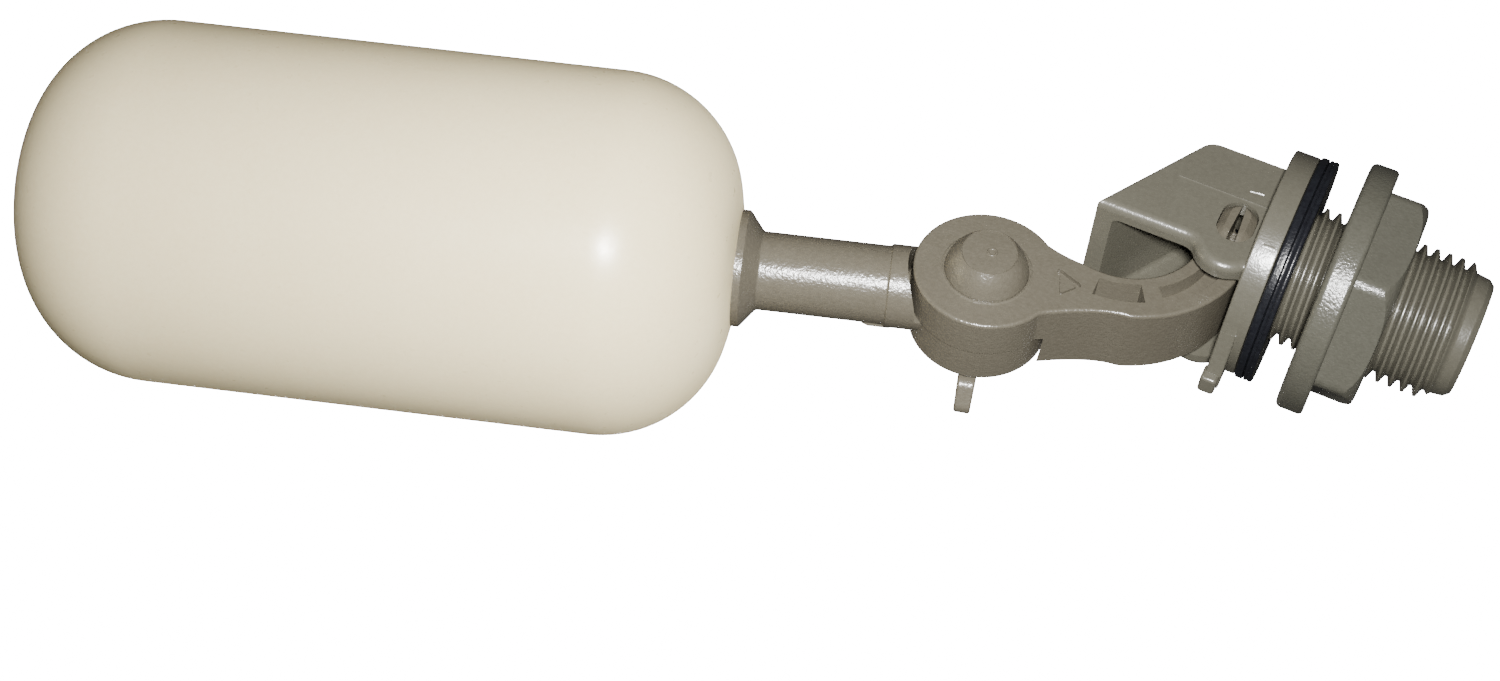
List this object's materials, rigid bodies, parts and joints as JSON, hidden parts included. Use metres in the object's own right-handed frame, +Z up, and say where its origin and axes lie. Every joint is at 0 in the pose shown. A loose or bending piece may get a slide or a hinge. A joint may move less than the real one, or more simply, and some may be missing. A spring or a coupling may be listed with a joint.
{
  "type": "float valve",
  "caption": "Tank float valve: a cylindrical float on a jointed arm swings a lever under a hood and shuts a threaded through-wall inlet clamped by a jam nut and gasket.",
  "frame": {"origin": "centre of the body flange's sealing face, on the inlet tail's axis", "axes": "+X along the threaded tail, out through the tank wall; Y along both pivots; +Z up, with the float hanging towards -X"},
  "size_m": [0.1992, 0.053, 0.1091],
  "materials": {
    "body_plastic": "satin moulded warm grey",
    "arm_plastic": "fine-grained satin brownish grey",
    "float_plastic": "smooth satin cream",
    "rubber": "slightly glossy black"
  },
  "bodies": {
    "valve": {"valve_body": "body_plastic", "sealing_gasket": "rubber", "pivot_pin": "arm_plastic"},
    "lever": {"lever": "arm_plastic", "seal_pad": "rubber", "joint_bolt": "arm_plastic"},
    "float_arm": {"float_stem": "arm_plastic", "float_shell": "float_plastic"},
    "jam_nut": {"jam_nut": "body_plastic"},
    "wing_nut": {"wing_nut": "arm_plastic"}
  },
  "joints": [
    {"name": "lever_hinge", "type": "hinge", "parent": "valve", "child": "lever", "pos_m": [-0.00706, 0, -0.00498], "axis": [0, 1, 0], "range_deg": [0, 17]},
    {"name": "arm_angle", "type": "hinge", "parent": "lever", "child": "float_arm", "pos_m": [-0.0365, 0, -0.0251], "axis": [0, 1, 0], "range_deg": [-90, 90]},
    {"name": "nut_travel", "type": "slide", "parent": "valve", "child": "jam_nut", "axis": [1, 0, 0], "range_m": [-0.004, 0.0098]},
    {"name": "wing_nut_spin", "type": "hinge", "parent": "lever", "child": "wing_nut", "pos_m": [-0.0365, 0, -0.0251], "axis": [0, 1, 0], "continuous": true}
  ]
}
